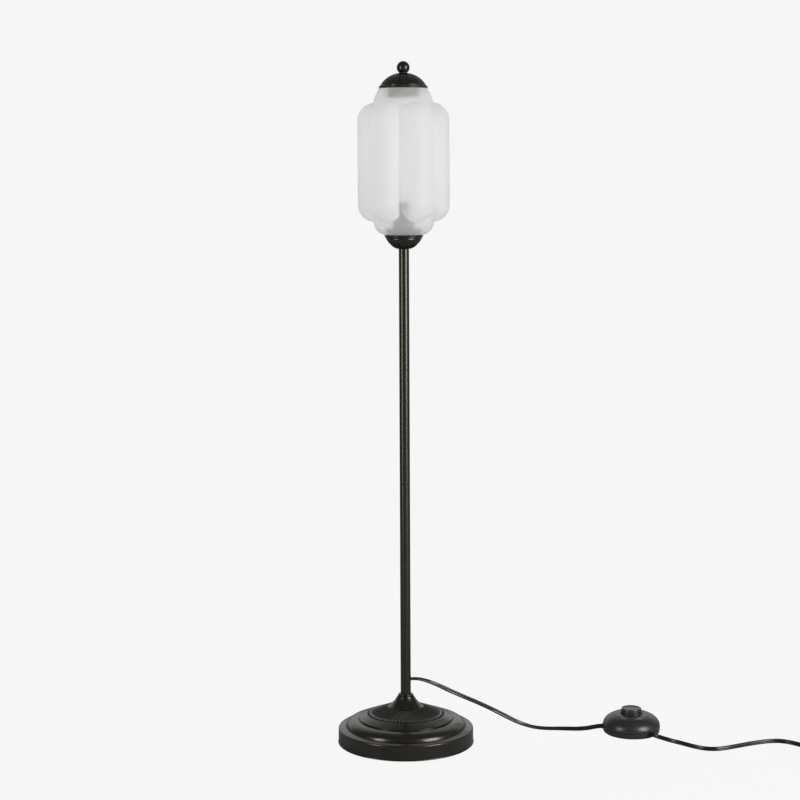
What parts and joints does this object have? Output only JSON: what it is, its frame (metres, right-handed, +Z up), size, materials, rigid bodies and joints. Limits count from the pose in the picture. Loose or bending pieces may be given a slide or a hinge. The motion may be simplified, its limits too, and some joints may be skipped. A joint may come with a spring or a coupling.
{
  "type": "lantern floor lamp",
  "caption": "Floor lamp with a lobed frosted-glass lantern shade, domed metal cap and ball finial, slim tube, round stepped base, and a dome foot switch on its cord.",
  "frame": {"origin": "on the floor, under the middle of the base", "axes": "+Z up along the tube; +X to the right of the picture, towards the foot switch; +Y away from the camera"},
  "size_m": [0.8455, 0.2192, 1.0674],
  "materials": {
    "satin_metal": "satin lacquered brown-black metal",
    "black_ball": "gloss black lacquer",
    "cast_iron": "raw casting",
    "felt": "black felt",
    "zinc_steel": "zinc plated",
    "brass": "plain",
    "nickel": "nickel plated",
    "holder_plastic": "moulded, matt",
    "ceramic": "white heat-proof core",
    "rubber": "matt",
    "frosted_glass": "frosted inside",
    "bulb_shell": "rolled thread",
    "bulb_white": "white heat-sink collar",
    "bulb_opal": "opal",
    "switch_plastic": "moulded, fine grain",
    "button_plastic": "moulded, satin",
    "inner_plastic": "moulded",
    "spring_steel": "drawn wire",
    "cord_pvc": "smooth black PVC",
    "plug_pvc": "moulded black PVC"
  },
  "bodies": {
    "root": {"base_shell": "satin_metal", "base_weight": "cast_iron", "base_pad": "felt", "base_bolt": "zinc_steel", "base_washer": "zinc_steel", "neck_cone": "satin_metal", "neck_ring": "satin_metal", "foot_insert": "zinc_steel", "lower_tube": "satin_metal", "upper_tube": "satin_metal", "joint_socket": "zinc_steel", "joint_stud": "zinc_steel", "cord_bush": "holder_plastic", "head_insert": "zinc_steel", "head_nipple": "zinc_steel", "cup": "satin_metal", "cup_nut": "zinc_steel", "holder_shell": "holder_plastic", "holder_core": "ceramic", "thread_sleeve": "nickel", "contact_tongue": "brass", "lower_shade_ring": "holder_plastic", "glass_gasket": "rubber", "glass_shade": "frosted_glass", "upper_shade_ring": "holder_plastic", "switch_base": "switch_plastic", "switch_cover": "switch_plastic", "switch_spring": "spring_steel", "switch_module": "inner_plastic", "switch_terminals": "brass", "terminal_screws": "zinc_steel", "cord_clamps": "inner_plastic", "clamp_screws": "zinc_steel", "switch_screws": "zinc_steel", "switch_pad": "rubber", "switch_tails": "cord_pvc", "inner_cord": "cord_pvc", "switch_lead": "cord_pvc", "plug_lead": "cord_pvc", "cord_coil": "cord_pvc", "plug_tail": "cord_pvc", "coil_tie": "cord_pvc", "plug_body": "plug_pvc", "plug_pins": "nickel", "plug_sleeves": "plug_pvc"},
    "cap": {"top_cap": "satin_metal", "cap_collar": "zinc_steel", "cap_spacer": "zinc_steel", "cap_stud": "zinc_steel", "stud_nut": "zinc_steel"},
    "finial": {"finial_ball": "black_ball"},
    "bulb": {"bulb_cap": "bulb_shell", "bulb_collar": "bulb_white", "bulb_globe": "bulb_opal"},
    "button": {"switch_button": "button_plastic"}
  },
  "joints": [
    {"name": "cap_lift", "type": "slide", "parent": "root", "child": "cap", "axis": [0, 0, 1], "range_m": [0, 0.06]},
    {"name": "finial_turn", "type": "hinge", "parent": "cap", "child": "finial", "pos_m": [0, 0, 1.055], "axis": [0, 0, 1], "range_deg": [0, 3600]},
    {"name": "bulb_turn", "type": "hinge", "parent": "root", "child": "bulb", "pos_m": [0, 0, 0.83], "axis": [0, 0, 1], "range_deg": [0, 1440]},
    {"name": "button_press", "type": "slide", "parent": "root", "child": "button", "axis": [0, 0, -1], "range_m": [0, 0.0035], "stiffness_N_per_m": 1400, "springref_m": -0.0022, "deforming": ["switch_spring"]}
  ]
}
